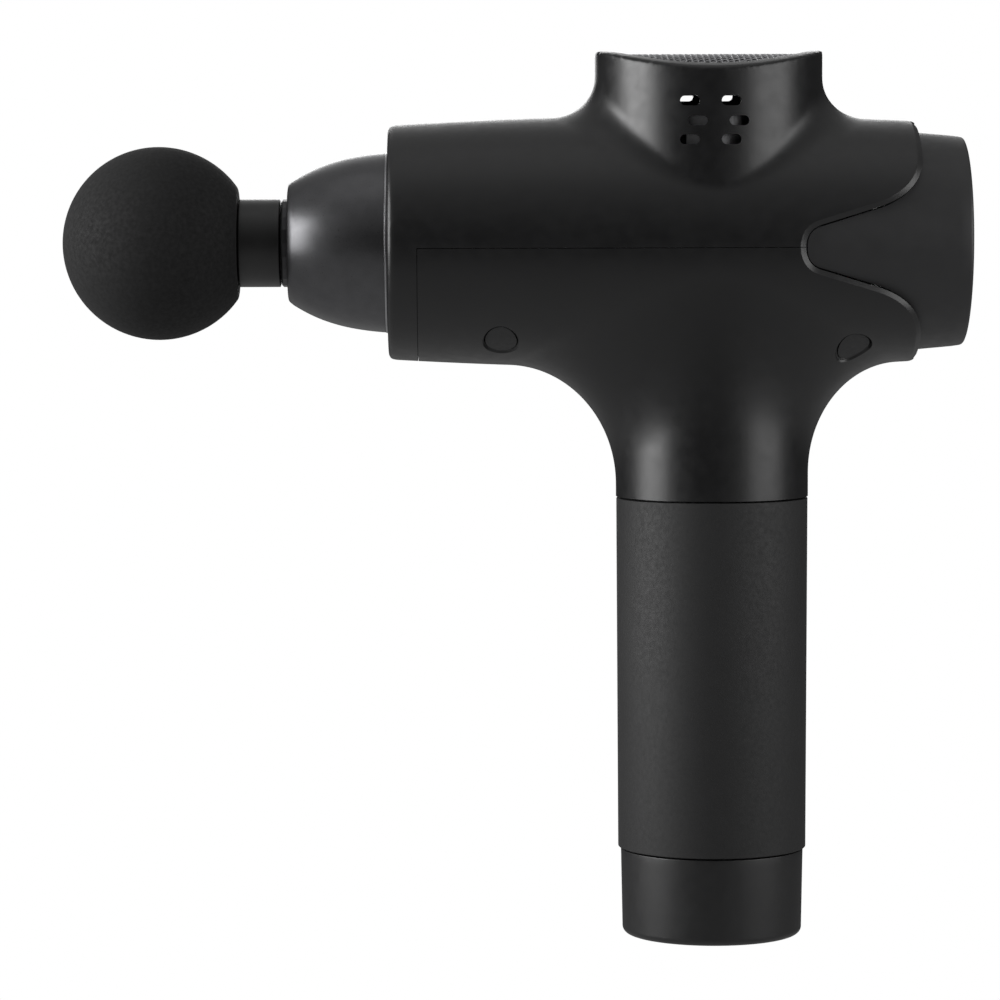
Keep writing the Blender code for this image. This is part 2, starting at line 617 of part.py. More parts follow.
def handle(rubber, black, wrap, board, gold):
    sleeve = [(GRIP_TOP_R, GRIP_TOP), (GRIP_BOTTOM_R, GRIP_BOTTOM), (TUBE_R + GAP, GRIP_BOTTOM),
              (TUBE_R + GAP, GRIP_TOP)]
    turned("grip_sleeve", sleeve, rubber, sides=FINE)
    outside = [(SPIGOT_R - 0.8, SPIGOT_TOP), (SPIGOT_R, SPIGOT_TOP - 0.8), (SPIGOT_R, TUBE_TOP),
               (TUBE_R, TUBE_TOP), (TUBE_R, TUBE_BOTTOM)]
    inside = [(CELL_BAY_R, TUBE_BOTTOM), (CELL_BAY_R, TUBE_TOP), (SPIGOT_BORE_R, TUBE_TOP + 2),
              (SPIGOT_BORE_R, SPIGOT_TOP)]
    turned("battery_tube", outside + inside, black, sides=24)
    for number in range(3):
        angle = math.radians(90 + 120 * number)
        at = (CELL_CIRCLE * math.cos(angle), CELL_CIRCLE * math.sin(angle), CELL_BOTTOM)
        pin(f"battery_cell_{number + 1}", CELL_R, 0, CELL_LENGTH, wrap, at)
    cells_top = CELL_BOTTOM + CELL_LENGTH
    pin("cell_holder_bottom", 20.0, CELL_BOTTOM - 3.3, CELL_BOTTOM - GAP, black)
    pin("cell_holder_top", 20.0, cells_top + GAP, cells_top + 3.3, black)
    pin("bms_board", 16.8, BASE_HEIGHT + 2.0, BASE_HEIGHT + 3.6, board)
    pin("plug_plate", 19.4, SPIGOT_TOP - 13, SPIGOT_TOP - 10, black)
    box("battery_plug", (-7, -4, SPIGOT_TOP - 9.7), (7, 4, SPIGOT_TOP + 7), gold)


def base(black, metal, inner, knob):
    floor, lip_r, lip_top = 3.0, 17.4, BASE_HEIGHT + 8.0
    foot = arc((BASE_FOOT_R - BASE_EDGE, BASE_EDGE), BASE_EDGE, 0, -90, 3)
    inside = [(0, floor), (lip_r, floor), (lip_r, lip_top)]
    outside = [(19.4, lip_top), (20.0, lip_top - 1), (20.0, BASE_HEIGHT),
               (BASE_TOP_R - 0.4, BASE_HEIGHT), (BASE_TOP_R, BASE_HEIGHT - 0.4)]
    body = turned("base_cap", inside + outside + foot + [(0, 0)], black, sides=FINE)
    socket_at = (-10.5, 0, 0)
    cut(body, pin("charge_hole", 4.8, -2, 6, at=socket_at))
    cut(body, box("switch_slot", (7.9, -5, -2), (13.1, 5, 6)))
    barrel_jack = [(0, 13.5), (4.5, 13.5), (4.5, 0.5), (2.8, 0.5), (2.8, 9.5), (0.9, 9.5), (0.9, 1.5),
                   (0, 1.5)]
    turned("charge_socket", barrel_jack, metal, socket_at, sides=SMALL)
    box("switch_body", (6.2, -7.5, 3.4), (14.8, 7.5, 9.0), inner)
    box("power_switch", (8.3, -4.5, 0.6), (12.7, 0.5, 3.0), knob, bevel=0.3)


def build():
    clear_scene()
    casing = material("casing_black", (0.018, 0.018, 0.019), 0.42)
    cover = material("cover_black", (0.020, 0.020, 0.021), 0.40)
    base_black = material("base_black", (0.016, 0.016, 0.017), 0.48)
    grip = material("grip_rubber", (0.022, 0.022, 0.022), 0.80)
    foam = material("head_foam", (0.012, 0.012, 0.012), 0.90)
    stem = material("stem_plastic", (0.014, 0.014, 0.014), 0.35)
    bell = material("bell_alloy", (0.060, 0.060, 0.064), 0.35, 0.9)
    steel = material("bright_steel", (0.55, 0.55, 0.56), 0.30, 1.0)
    cast = material("cast_alloy", (0.52, 0.53, 0.54), 0.45, 1.0)
    can = material("motor_can", (0.42, 0.42, 0.44), 0.35, 1.0)
    copper = material("copper_wire", (0.62, 0.28, 0.12), 0.35, 1.0)
    magnet = material("magnet", (0.10, 0.10, 0.11), 0.40, 0.8)
    polymer = material("bushing_polymer", (0.75, 0.74, 0.70), 0.45)
    mesh_steel = material("grille_steel", (0.16, 0.16, 0.17), 0.35, 1.0)
    rubber = material("seal_rubber", (0.012, 0.012, 0.012), 0.70)
    glass = material("display_glass", (0.010, 0.010, 0.012), 0.08)
    board = material("circuit_board", (0.02, 0.10, 0.05), 0.50)
    inner = material("inner_plastic", (0.030, 0.030, 0.032), 0.55)
    wrap = material("cell_wrap", (0.03, 0.16, 0.36), 0.40)
    contact = material("contact_block", (0.60, 0.42, 0.14), 0.35, 1.0)
    lead = material("lead_sleeve", (0.35, 0.02, 0.02), 0.45)
    knob = material("switch_knob", (0.030, 0.030, 0.032), 0.40)
    plug = material("plug_rubber", (0.016, 0.016, 0.016), 0.60)

    casings(casing)
    fasteners(plug, steel)
    rear_end(cover, glass, board)
    grille(mesh_steel, inner)
    nozzle(bell, rubber, polymer, cast, rubber)
    motor(cast, steel, can, copper, magnet, inner)
    rod_and_plunger(steel, cast)
    ball_head(foam, stem, rubber)
    neck_fittings(inner, lead)
    handle(grip, inner, wrap, board, contact)
    base(base_black, steel, inner, knob)


if __name__ == "__main__":
    build()
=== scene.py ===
"""The looks of the massage gun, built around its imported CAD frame.

Lengths are in millimetres, and the mesh helpers turn them into metres. Heights named ..._UP are
measured from the barrel's axis, as in the CAD source. The barrel lies along X, with the ball
head at its low end. Places come from the frame wherever a CAD node's box gives them.
"""

import json
import math

import bmesh
import bpy
import numpy as np
from mathutils import Matrix, Vector
from mathutils.bvhtree import BVHTree


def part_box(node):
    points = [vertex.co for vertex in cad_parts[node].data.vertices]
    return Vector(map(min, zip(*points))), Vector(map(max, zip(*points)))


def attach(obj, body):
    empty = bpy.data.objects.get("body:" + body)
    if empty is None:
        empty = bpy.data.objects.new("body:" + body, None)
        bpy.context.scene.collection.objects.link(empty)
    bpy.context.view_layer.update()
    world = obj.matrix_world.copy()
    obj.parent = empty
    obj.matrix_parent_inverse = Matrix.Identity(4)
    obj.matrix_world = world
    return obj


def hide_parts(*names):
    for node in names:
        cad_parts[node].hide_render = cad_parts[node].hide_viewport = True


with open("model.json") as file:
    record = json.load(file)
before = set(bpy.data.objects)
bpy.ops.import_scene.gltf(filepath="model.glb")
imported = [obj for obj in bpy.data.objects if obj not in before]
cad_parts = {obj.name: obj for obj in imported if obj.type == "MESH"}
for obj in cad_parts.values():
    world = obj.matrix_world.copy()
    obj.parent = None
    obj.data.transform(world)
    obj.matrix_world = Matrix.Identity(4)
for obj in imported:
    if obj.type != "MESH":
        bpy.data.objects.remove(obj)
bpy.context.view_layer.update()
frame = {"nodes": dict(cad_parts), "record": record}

MM = 0.001


def corners(node):
    """Lowest and highest corner of a CAD node, in millimetres."""
    low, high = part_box(node)
    return low / MM, high / MM


# ---------------------------------------------------------------- dimensions read from the frame

BALL_LOW, BALL_HIGH = corners("head_ball")
AXIS_Z = (BALL_LOW.z + BALL_HIGH.z) / 2
BALL_R = (BALL_HIGH.z - BALL_LOW.z) / 2
BALL_X, BALL_FLAT_X = BALL_LOW.x + BALL_R, BALL_HIGH.x
BARREL_FRONT = corners("upper_casing")[0].x
NECK_SEAM = corners("lower_casing")[0].z
COVER_END = corners("rear_cover")[1].x
LENS_LOW, LENS_HIGH = corners("display_lens")
LENS_R = (LENS_HIGH.z - LENS_LOW.z) / 2
GRIP_LOW, GRIP_HIGH = corners("grip_sleeve")
BASE_TOP = corners("base_cap")[1].z
PLUNGER_FRONT = corners("plunger")[0].x

# ---------------------------------------------------------------- dimensions

# These follow the CAD source, with the tower's crest, the wings and the rear plugs refined by less
# than a millimetre.

GAP = 0.3                                   # between neighbouring pieces
SEAM = 0.16                                 # between the two casings
WALL = 2.4

# Barrel: its radius falls with the square of the distance from CROWN_X.
BARREL_R, CROWN_X, CROWN, BARREL_REAR = 32.45, -8.0, 0.00041, 53.0
FRONT_EDGE, REAR_EDGE = 1.3, 2.0
COLLAR_SEAM_X, PARTING_UP, NOSE_HOLE_R = -76.0, -1.3, 23.4

# Neck and tower: how far each fillet runs out along the barrel and how high it rises, for the
# front and the rear, and both again for the sides.
NECK_R, NECK_FLARES, NECK_RISES, NECK_SIDE = 24.9, (28.4, 24.0), (31.0, 28.5), (6.3, 20.0)
TOWER_R, TOWER_FLARES, TOWER_RISES, TOWER_SIDE = 29.3, (11.5, 11.5), (10.5, 10.5), (0.4, 0.8)
TOWER_X, TOWER_CREST_UP, VAULT_R = -0.9, 49.0, 90.0
TOWER_MOUTH_R, TOWER_ROOM_UP, GRILLE_DROP = 26.2, 41.5, 0.6

VENT_LENGTH, VENT_WIDTH = 5.0, 2.5
VENT_ROWS_UP, VENT_COLUMNS, VENT_MIDDLE_SHIFT = (35.6, 30.6, 25.9), (-7.2, 3.2), 2.0
FAR_SIDE_SHIFT, FAR_SIDE_RAISE = 1.4, 2.6

COVER_R, COVER_R_X, COVER_TAPER = 27.9, 53.5, 0.0875
COVER_WALL, COVER_SPIGOT_X = 2.0, 50.0
WING_TIP_X, WING_NOSE, WING_FLANK, WING_SHOULDER = 21.8, (25.6, 5.6), (40.0, 10.0), (52.2, 24.0)

FRONT_SCREW, REAR_SCREW = (-54.8, 18.9, 1.0), (35.1, 17.7, 0.8)     # x, y and how oval the plug is
SCREW_SPOTS = [(x, y * side, oval) for x, y, oval in (FRONT_SCREW, REAR_SCREW) for side in (-1, 1)]
PLUG_R, PLUG_HOLE_R, PLUG_SUNK = 4.0, 4.3, 0.3

STEM_COLLAR_R, SHANK_R, O_RING_SPOTS = 11.3, 7.1, (-91.0, -104.0)
TENON_R, TENON_END = 8.0, -139.4
BASE_TOP_R, BASE_FOOT_R, BASE_EDGE = 23.7, 23.3, 1.8
CHARGE_X, SWITCH_X = -10.5, 10.5

# Bounds just outside the casings, for the blocks and prisms that divide and cut them.
CUT_FRONT, CUT_BACK, CUT_SIDE, CUT_UP = -95, 75, 45, 50

SKIN_VOXEL, SKIN_SMOOTHING = 0.55, 9        # of the casing's skin, before its openings are cut
ROUND, FINE = 96, 192                       # sides of small and of large round pieces
SMOOTH_ANGLE, CAD_SMOOTH_ANGLE = 32, 34     # edges sharper than this many degrees stay sharp


# ---------------------------------------------------------------- mesh helpers

def link(name, mesh):
    obj = bpy.data.objects.new(name, mesh)
    bpy.context.scene.collection.objects.link(obj)
    return obj


def from_bmesh(name, bm):
    mesh = bpy.data.meshes.new(name)
    bm.to_mesh(mesh)
    bm.free()
    return link(name, mesh)


def settle(obj):
    """Applies the object's modifiers and its place to its mesh."""
    bpy.context.view_layer.update()
    graph = bpy.context.evaluated_depsgraph_get()
    mesh = bpy.data.meshes.new_from_object(obj.evaluated_get(graph))
    mesh.transform(obj.matrix_world)
    old = obj.data
    obj.modifiers.clear()
    obj.data = mesh
    obj.matrix_world = Matrix.Identity(4)
    bpy.data.meshes.remove(old)
    return obj


def drop(*objs):
    for obj in objs:
        mesh = obj.data
        bpy.data.objects.remove(obj, do_unlink=True)
        bpy.data.meshes.remove(mesh)


def boolean(obj, others, how):
    """Joins, cuts or keeps with closed meshes, one after another, and removes them."""
    for other in others:
        step = obj.modifiers.new(how, "BOOLEAN")
        step.operation, step.solver, step.object = how, "MANIFOLD", other
        settle(obj)
        drop(other)
    return obj


def shade(obj, angle=SMOOTH_ANGLE):
    obj.data.shade_smooth()
    obj.data.set_sharp_from_angle(angle=math.radians(angle))
    return obj


def turned(name, profile, along="Z", at=(0, 0, 0), sides=FINE):
    """A closed body of revolution from (radius, height) points, given so that it faces outwards.

    A profile whose ends lie off the axis is closed into a ring."""
    axis_ends = profile[0][0] == 0
    bm = bmesh.new()
    rows = []
    for radius, height in profile:
        if radius == 0:
            rows.append([bm.verts.new((0, 0, height * MM))])
            continue
        turns = [2 * math.pi * i / sides for i in range(sides)]
        rows.append([
            bm.verts.new((radius * MM * math.cos(t), radius * MM * math.sin(t), height * MM))
            for t in turns
        ])
    pairs = list(zip(rows, rows[1:])) + ([] if axis_ends else [(rows[-1], rows[0])])
    for a, b in pairs:
        for i in range(sides):
            j = (i + 1) % sides
            if len(a) == 1:
                bm.faces.new((a[0], b[i], b[j]))
            elif len(b) == 1:
                bm.faces.new((a[i], b[0], a[j]))
            else:
                bm.faces.new((a[i], b[i], b[j], a[j]))
    bmesh.ops.recalc_face_normals(bm, faces=bm.faces)
    if along == "X":
        bmesh.ops.rotate(bm, verts=bm.verts, matrix=Matrix.Rotation(math.radians(90), 3, "Y"))
    bmesh.ops.translate(bm, verts=bm.verts, vec=Vector(at) * MM)
    return from_bmesh(name, bm)


def disc(name, radius, low, high, along="Z", at=(0, 0, 0), sides=FINE):
    return turned(name, [(0, high), (radius, high), (radius, low), (0, low)], along, at, sides)


def block(name, low, high):
    low, high = Vector(low) * MM, Vector(high) * MM
    bm = bmesh.new()
    size = Matrix.Diagonal((*(high - low), 1.0))
    bmesh.ops.create_cube(bm, size=1.0, matrix=Matrix.Translation((low + high) / 2) @ size)
    return from_bmesh(name, bm)


def arc(centre, radius, start, end, steps):
    """Points on an arc, angles in degrees, both ends included."""
    turns = [math.radians(start + (end - start) * i / steps) for i in range(steps + 1)]
    return [(centre[0] + radius * math.cos(t), centre[1] + radius * math.sin(t)) for t in turns]


def rounded(points, radius, steps=5):
    """An open (r, h) profile whose inner corners are rounded off by quadratic curves."""
    found = [points[0]]
    for before, corner, after in zip(points, points[1:], points[2:]):
        a, c, b = Vector(before), Vector(corner), Vector(after)
        reach = min(radius, (a - c).length * 0.49, (b - c).length * 0.49)
        start, end = c + (a - c).normalized() * reach, c + (b - c).normalized() * reach
        if (c - a).angle(b - c) < 0.2:
            found.append(tuple(c))
            continue
        for i in range(steps + 1):
            t = i / steps
            found.append(tuple(start * (1 - t) ** 2 + c * 2 * t * (1 - t) + end * t * t))
    return found + [points[-1]]


def prism(name, outline, low, high, place):
    """A solid between two heights over a closed outline; place maps its (x, y, height)."""
    bm = bmesh.new()
    rows = [[bm.verts.new(Vector(place(x, y, h)) * MM) for x, y in outline] for h in (low, high)]
    count = len(outline)
    for i in range(count):
        j = (i + 1) % count
        bm.faces.new((rows[0][i], rows[0][j], rows[1][j], rows[1][i]))
    bm.faces.new(rows[0])
    bm.faces.new(rows[1])
    bmesh.ops.triangulate(bm, faces=[f for f in bm.faces if len(f.verts) > 4])
    bmesh.ops.recalc_face_normals(bm, faces=bm.faces)
    return from_bmesh(name, bm)


def sideways(z):
    """Maps a flat outline to one seen from the side, about height z."""
    return lambda x, y, h: (x, h, z + y)


def swept(name, path, directions, section, closed):
    """A solid that follows a path. directions holds (up, across) at each point of the path, and
    each section point is (distance across, distance up)."""
    bm = bmesh.new()
    rows = []
    for point, (up, across) in zip(path, directions):
        rows.append([bm.verts.new((point + across * a + up * b) * MM) for a, b in section])
    pairs = list(zip(rows, rows[1:])) + ([(rows[-1], rows[0])] if closed else [])
    count = len(section)
    for a, b in pairs:
        for i in range(count):
            j = (i + 1) % count
            bm.faces.new((a[i], a[j], b[j], b[i]))
    if not closed:
        bm.faces.new(rows[0])
        bm.faces.new(rows[-1])
    bmesh.ops.recalc_face_normals(bm, faces=bm.faces)
    return from_bmesh(name, bm)


def stadium(length, width, steps=12):
    half = (length - width) / 2
    return arc((half, 0), width / 2, -90, 90, steps) + arc((-half, 0), width / 2, 90, 270, steps)


def bezier(a, b, c, d, steps):
    """Points on a flat cubic curve, without its last one."""
    found = []
    for i in range(steps):
        t = i / steps
        weights = ((1 - t) ** 3, 3 * t * (1 - t) ** 2, 3 * t * t * (1 - t), t ** 3)
        found.append(tuple(sum(w * p[k] for w, p in zip(weights, (a, b, c, d))) for k in (0, 1)))
    return found


# ---------------------------------------------------------------- casing shape

def barrel_radius(x):
    return BARREL_R - CROWN * (x - CROWN_X) ** 2


def barrel(name, inset, front, rear, front_edge, rear_edge, sides):
    """The crowned barrel as a solid, its radius smaller by inset."""
    profile = [(0, rear)]
    if rear_edge:
        top = barrel_radius(rear) - inset - rear_edge
        profile += arc((top, rear - rear_edge), rear_edge, 90, 8, 10)
    else:
        profile.append((barrel_radius(rear) - inset, rear))
    steps = 48
    start, reach = rear - rear_edge, rear - rear_edge - front - front_edge
    stations = [start - reach * i / steps for i in range(steps + 1)]
    profile += [(barrel_radius(x) - inset, x) for x in stations[(0 if rear_edge else 1):]]
    if front_edge:
        top = barrel_radius(front) - inset - front_edge
        profile += arc((top, front + front_edge), front_edge, -8, -90, 10)
    profile.append((0, front))
    return turned(name, profile, "X", (0, 0, AXIS_Z), sides)


def column(name, up, centre_x, radius, flares, rises, side, inset, end_up, sides=FINE):
    """A round column that leaves the barrel on an elliptical fillet, up (1) or down (-1).

    flares and rises are how far the fillet runs out and how high it rises, in front and behind,
    and side holds both for the flanks. The root is sunk in the barrel, so that the two join."""
    bm = bmesh.new()
    rings = []
    steps, sunk, root_up, root_share = 24, 0.05, 6, 0.5
    for index in range(sides):
        angle = 2 * math.pi * (index + 0.5) / sides
        cos, sin = math.cos(angle), math.sin(angle)
        end, lean = (0 if cos < 0 else 1), cos * cos
        wall = Vector((centre_x + (radius - inset) * cos, (radius - inset) * sin, 0))
        outer = Vector((
            centre_x + (radius - inset + flares[end]) * cos, (radius - inset + side[0]) * sin, 0
        ))
        skin = barrel_radius(outer.x) - inset
        outer.z = up * math.sqrt(skin ** 2 - outer.y ** 2)
        corner = wall.copy()
        corner.z = outer.z - outer.y / outer.z * (wall.y - outer.y)
        top = corner.copy()
        top.z += up * (side[1] + (rises[end] - side[1]) * lean)
        root_x = centre_x + root_share * (wall.x - centre_x)
        points = [Vector((root_x, root_share * wall.y, up * root_up))]
        for step in range(steps + 1):
            turn = math.pi / 2 * step / steps
            point = corner + (outer - corner) * (1 - math.sin(turn))
            point += (top - corner) * (1 - math.cos(turn))
            if step == 0:
                point.y *= 1 - sunk / skin
                point.z *= 1 - sunk / skin
            points.append(point)
        points.append(Vector((wall.x, wall.y, end_up)))
        rings.append([bm.verts.new((p + Vector((0, 0, AXIS_Z))) * MM) for p in points])
    for a, b in zip(rings, rings[1:] + rings[:1]):
        for i in range(len(a) - 1):
            bm.faces.new((a[i], b[i], b[i + 1], a[i + 1]))
    bm.faces.new([line[0] for line in rings])
    bm.faces.new([line[-1] for line in rings])
    bmesh.ops.recalc_face_normals(bm, faces=bm.faces)
    return from_bmesh(name, bm)


def neck(name, inset, end_up):
    return column(name, -1, 0, NECK_R, NECK_FLARES, NECK_RISES, NECK_SIDE, inset, end_up)


def tower(name, inset, end_up):
    return column(
        name, 1, TOWER_X, TOWER_R, TOWER_FLARES, TOWER_RISES, TOWER_SIDE, inset, end_up
    )


def vault(name, drop_by):
    """A cylinder along the barrel whose crest is the tower's arched top, lowered by drop_by."""
    at, reach, sides = (TOWER_X, 0, AXIS_Z + TOWER_CREST_UP - VAULT_R), 40, 1200
    return disc(name, VAULT_R - drop_by, -reach, reach, "X", at, sides)


WING_REACH = 33.0                           # half the height of the wings' outline


def wing_outline(gap, steps=28):
    """The upper half of the rear cover's outline seen from the side, smaller by gap, with y up
    from the parting line: a round nose, a straight flank and an S-shaped shoulder."""
    tip, nose, flank, shoulder = WING_TIP_X + gap, WING_NOSE, WING_FLANK, WING_SHOULDER
    length, rise = flank[0] - nose[0], flank[1] - nose[1]
    slope = rise / length
    tip_pull, nose_pull, flank_pull, shoulder_pull = 2.8, 2.4, 6.5, 8.0
    upper = bezier(
        (tip, 0), (tip, tip_pull),
        (nose[0] - nose_pull, nose[1] - nose_pull * slope - gap), (nose[0], nose[1] - gap), steps,
    )
    upper += [
        (nose[0] + length * i / steps, nose[1] - gap + rise * i / steps) for i in range(steps)
    ]
    upper += bezier(
        (flank[0], flank[1] - gap), (flank[0] + flank_pull, flank[1] + flank_pull * slope - gap),
        (shoulder[0] + gap, shoulder[1] - shoulder_pull), (shoulder[0] + gap, shoulder[1]), steps,
    )
    return upper + [(shoulder[0] + gap, y) for y in np.linspace(shoulder[1], WING_REACH, 16)]


def wing_prism(name, gap):
    """Everything behind the wings' outline, right across the barrel."""
    behind = 72.0
    upper = wing_outline(gap) + [(behind, WING_REACH)]
    outline = upper + [(x, -y) for x, y in reversed(upper[1:])]
    return prism(name, outline, -CUT_SIDE, CUT_SIDE, sideways(AXIS_Z + PARTING_UP))


def edge_section(width, depth, bow, steps=6):
    """What a softened edge loses, as (across, up): width over the skin, depth into the opening,
    and a slight bow. Outside the slope it only has to clear the skin."""
    slope = []
    for i in range(steps + 1):
        t = i / steps
        bulge = bow * math.sin(math.pi * t)
        slope.append((width * (1 - t) + bulge, -depth * t + bulge))
    inner, outer, clear = -1.0, width + 0.4, 1.0
    return [(inner, clear), (inner, -depth)] + slope[::-1] + [(outer, 0.25), (outer, clear)]


def wing_edges():
    """Cutters that bevel the casings' edge along both wings of the rear cover."""
    half = wing_outline(0)
    line = [(x, -y) for x, y in reversed(half)] + half[1:]
    section = edge_section(width=1.35, depth=1.1, bow=0.1)
    cutters = []
    for side in (-1, 1):
        path, directions = [], []
        for i, (x, up) in enumerate(line):
            a, b = line[max(i - 1, 0)], line[min(i + 1, len(line) - 1)]
            z = up + PARTING_UP
            y = side * math.sqrt(max(barrel_radius(x) ** 2 - z ** 2, 1.0))
            out = Vector((0, y, z)).normalized()
            away = Vector((b[0] - a[0], 0, b[1] - a[1])).cross(Vector((0, 1, 0)))
            away = (away - out * away.dot(out)).normalized()
            path.append(Vector((x, y, z + AXIS_Z)))
            directions.append((out, away))
        cutters.append(swept("wing_edge", path, directions, section, False))
    return cutters


def plug_outline(spot, radius):
    """A plug's outline from below. The rear ones are a little oval where the neck flares out."""
    x, y, oval = spot
    return [(x + a, y + b * oval) for a, b in arc((0, 0), radius, 0, 355, 71)]


def plug_prism(name, spot, radius, low, high):
    """A column over a plug's outline, between two heights from the barrel's axis."""
    return prism(name, plug_outline(spot, radius), low, high, lambda x, y, h: (x, y, AXIS_Z + h))


def plug_hole_edges(skin):
    """Cutters that bevel the edge of each plug's hole where it leaves the skin."""
    mesh = skin.data
    tree = BVHTree.FromPolygons([v.co for v in mesh.vertices], [p.vertices for p in mesh.polygons])
    section = edge_section(width=0.42, depth=0.42, bow=0.05)
    below = AXIS_Z - 70
    cutters = []
    for spot in SCREW_SPOTS:
        path, directions = [], []
        rim, inside = plug_outline(spot, PLUG_HOLE_R), plug_outline(spot, PLUG_HOLE_R - 1)
        for (x, y), (near_x, near_y) in zip(rim, inside):
            outward = Vector((x - near_x, y - near_y, 0)).normalized()
            hit, out, _, _ = tree.ray_cast(Vector((x, y, below)) * MM, Vector((0, 0, 1)))
            path.append(hit / MM)
            directions.append((out, (outward - out * outward.dot(out)).normalized()))
        cutters.append(swept("plug_hole_edge", path, directions, section, True))
    return cutters


def casing_skin():
    """The closed outer form of both casings, as one evenly meshed and smoothed skin."""
    skin = barrel("casing_skin", 0, BARREL_FRONT, BARREL_REAR, FRONT_EDGE, REAR_EDGE, 256)
    spare = 4
    top = tower("tower_outer", 0, TOWER_CREST_UP + spare)
    boolean(top, [vault("vault_outer", 0)], "INTERSECT")
    boolean(skin, [top, neck("neck_outer", 0, NECK_SEAM - spare - AXIS_Z)], "UNION")
    remesh = skin.modifiers.new("Even", "REMESH")
    remesh.mode, remesh.voxel_size = "VOXEL", SKIN_VOXEL * MM
    soften = skin.modifiers.new("Soften", "SMOOTH")
    soften.factor, soften.iterations = 0.5, SKIN_SMOOTHING
    return settle(skin)


def casing_room():
    """What is hollow or open in the casings, except the vents, as one solid."""
    front, rear, neck_end_up = BARREL_FRONT + WALL + 0.1, BARREL_REAR + 5, NECK_SEAM - AXIS_Z - 8
    mouth, nose = (30, 60), (-90, -70)
    room = barrel("casing_room", WALL, front, rear, 0, 0, ROUND)
    return boolean(room, [
        neck("neck_inner", WALL, neck_end_up),
        tower("tower_inner", WALL, TOWER_ROOM_UP),
        disc("tower_mouth", TOWER_MOUTH_R, *mouth, at=(TOWER_X, 0, AXIS_Z)),
        disc("nose_opening", NOSE_HOLE_R, *nose, "X", (0, 0, AXIS_Z)),
        wing_prism("wing_room", 0),
    ], "UNION")


def vent_slots():
    """Cutters for the vents on both sides: rows of two, the middle row moved to the rear."""
    inside, outside = 22.0, 34.0
    slots = []
    for side, moved, raised in ((-1, 0.0, 0.0), (1, FAR_SIDE_SHIFT, FAR_SIDE_RAISE)):
        for row, height in enumerate(VENT_ROWS_UP):
            for x in VENT_COLUMNS:
                x += moved + (VENT_MIDDLE_SHIFT if row == 1 else 0.0)
                low, high = sorted((side * inside, side * outside))
                outline = [(x + a, b) for a, b in stadium(VENT_LENGTH, VENT_WIDTH)]
                slots.append(prism("vent", outline, low, high, sideways(AXIS_Z + height + raised)))
    return slots


def slab(name, low_z, high_z, front=CUT_FRONT):
    """A block across the whole casing, from front backwards, between two heights."""
    return block(name, (front, -CUT_SIDE, low_z), (CUT_BACK, CUT_SIDE, high_z))


def collar_ring(name, deep, shallow, low, high):
    """A half ring inside the barrel, below the parting line, between two depths under the skin."""
    skin_r = barrel_radius(COLLAR_SEAM_X)
    inner, outer = skin_r - deep, skin_r - shallow
    profile = [(outer, low), (outer, high), (inner, high), (inner, low)]
    ring = turned(name, profile, "X", (0, 0, AXIS_Z), ROUND)
    zone = slab("ring_zone", AXIS_Z - CUT_UP, AXIS_Z + PARTING_UP - 0.6)
    return boolean(ring, [zone], "INTERSECT")


def casings(skin):
    """Both casings. A lip on the collar runs under the lower casing's front edge."""
    parting, half_seam = AXIS_Z + PARTING_UP, SEAM / 2
    lower = link("lower_casing_skin", skin.data.copy())
    boolean(lower, [casing_room(), *wing_edges()], "DIFFERENCE")
    upper = link("upper_casing_skin", lower.data.copy())

    above = slab("upper_zone", parting + half_seam, AXIS_Z + CUT_UP + 10)
    collar = block(
        "collar_zone",
        (CUT_FRONT - 1, -CUT_SIDE - 1, AXIS_Z - CUT_UP),
        (COLLAR_SEAM_X - half_seam, CUT_SIDE + 1, AXIS_Z + CUT_UP),
    )
    boolean(upper, [boolean(above, [collar], "UNION")], "INTERSECT")
    below = slab("lower_zone", NECK_SEAM, parting - half_seam, COLLAR_SEAM_X + half_seam)
    boolean(lower, [below], "INTERSECT")

    seam = COLLAR_SEAM_X
    lip = collar_ring("collar_lip", deep=2.3, shallow=1.5, low=seam - 1.5, high=seam + 1.5)
    boolean(upper, [lip], "UNION")
    boolean(upper, vent_slots(), "DIFFERENCE")
    hole_low, hole_high = -45, -16
    holes = [plug_prism("plug_hole", spot, PLUG_HOLE_R, hole_low, hole_high) for spot in SCREW_SPOTS]
    rebate = collar_ring("lip_rebate", deep=3.0, shallow=1.3, low=seam - 1, high=seam + 1.8)
    boolean(lower, [*holes, *plug_hole_edges(skin), rebate], "DIFFERENCE")
    return upper, lower


# ---------------------------------------------------------------- rear cover, display and grille

def cover_radius(x):
    return COVER_R + COVER_TAPER * (COVER_R_X - x)


def rear_cover():
    """The tapered cover round the display, with a pointed wing on each flank."""
    end, forward = COVER_END, WING_TIP_X - 3
    lens_floor, ledge, ledge_r = LENS_LOW.x - GAP, LENS_LOW.x - 2.4, LENS_R - 1.6
    edge, inner_end = end - 3, 57
    rim = rounded([
        (LENS_R + GAP, lens_floor), (LENS_R + GAP, end), (cover_radius(end) - 0.15, end),
        (cover_radius(edge), edge),
    ], 0.9)
    outside = [(cover_radius(x), x) for x in np.linspace(edge - 0.5, forward, 40)]
    inside = [(cover_radius(x) - COVER_WALL, x) for x in (forward, 40, inner_end)]
    inside += [(ledge_r, ledge), (ledge_r, lens_floor)]
    cover = turned("rear_cover_shell", rim + outside + inside, "X", (0, 0, AXIS_Z))
    zone = wing_prism("wing_zone", 0.4)
    side, up, back = 44, 39, 71
    ring_zone = block(
        "cover_zone", (COVER_SPIGOT_X, -side, AXIS_Z - up), (back, side, AXIS_Z + up)
    )
    boolean(zone, [ring_zone], "UNION")
    return boolean(cover, [zone], "INTERSECT")


